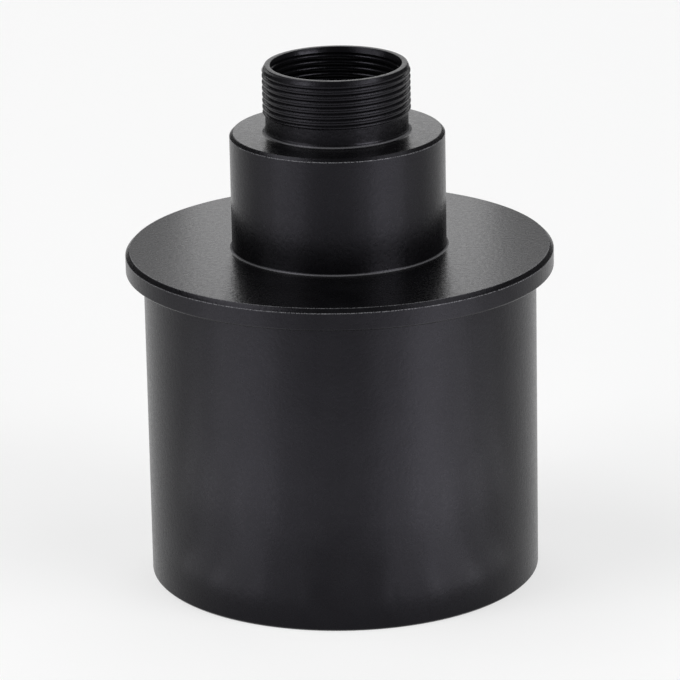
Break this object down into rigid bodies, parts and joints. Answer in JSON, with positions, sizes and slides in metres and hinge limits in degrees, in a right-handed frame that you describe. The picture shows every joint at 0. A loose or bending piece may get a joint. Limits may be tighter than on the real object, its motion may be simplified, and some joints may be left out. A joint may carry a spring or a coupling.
{
  "type": "telescope camera adapter ring",
  "caption": "Turned adapter that holds a board camera in a telescope focuser: hollow push-in barrel, stop flange, neck and threaded spigot with a light bore right through.",
  "frame": {"origin": "on the turning axis, in the plane of the barrel's open end, which the adapter stands on", "axes": "+Z along the turning axis, from the barrel's open end to the threaded spigot; X and Y are any two directions across it"},
  "size_m": [0.0346, 0.0346, 0.0424],
  "materials": {
    "black_anodised_aluminium": "black anodised over a fine bead blast, satin"
  },
  "bodies": {
    "root": {"adapter_body": "black_anodised_aluminium"}
  },
  "joints": []
}
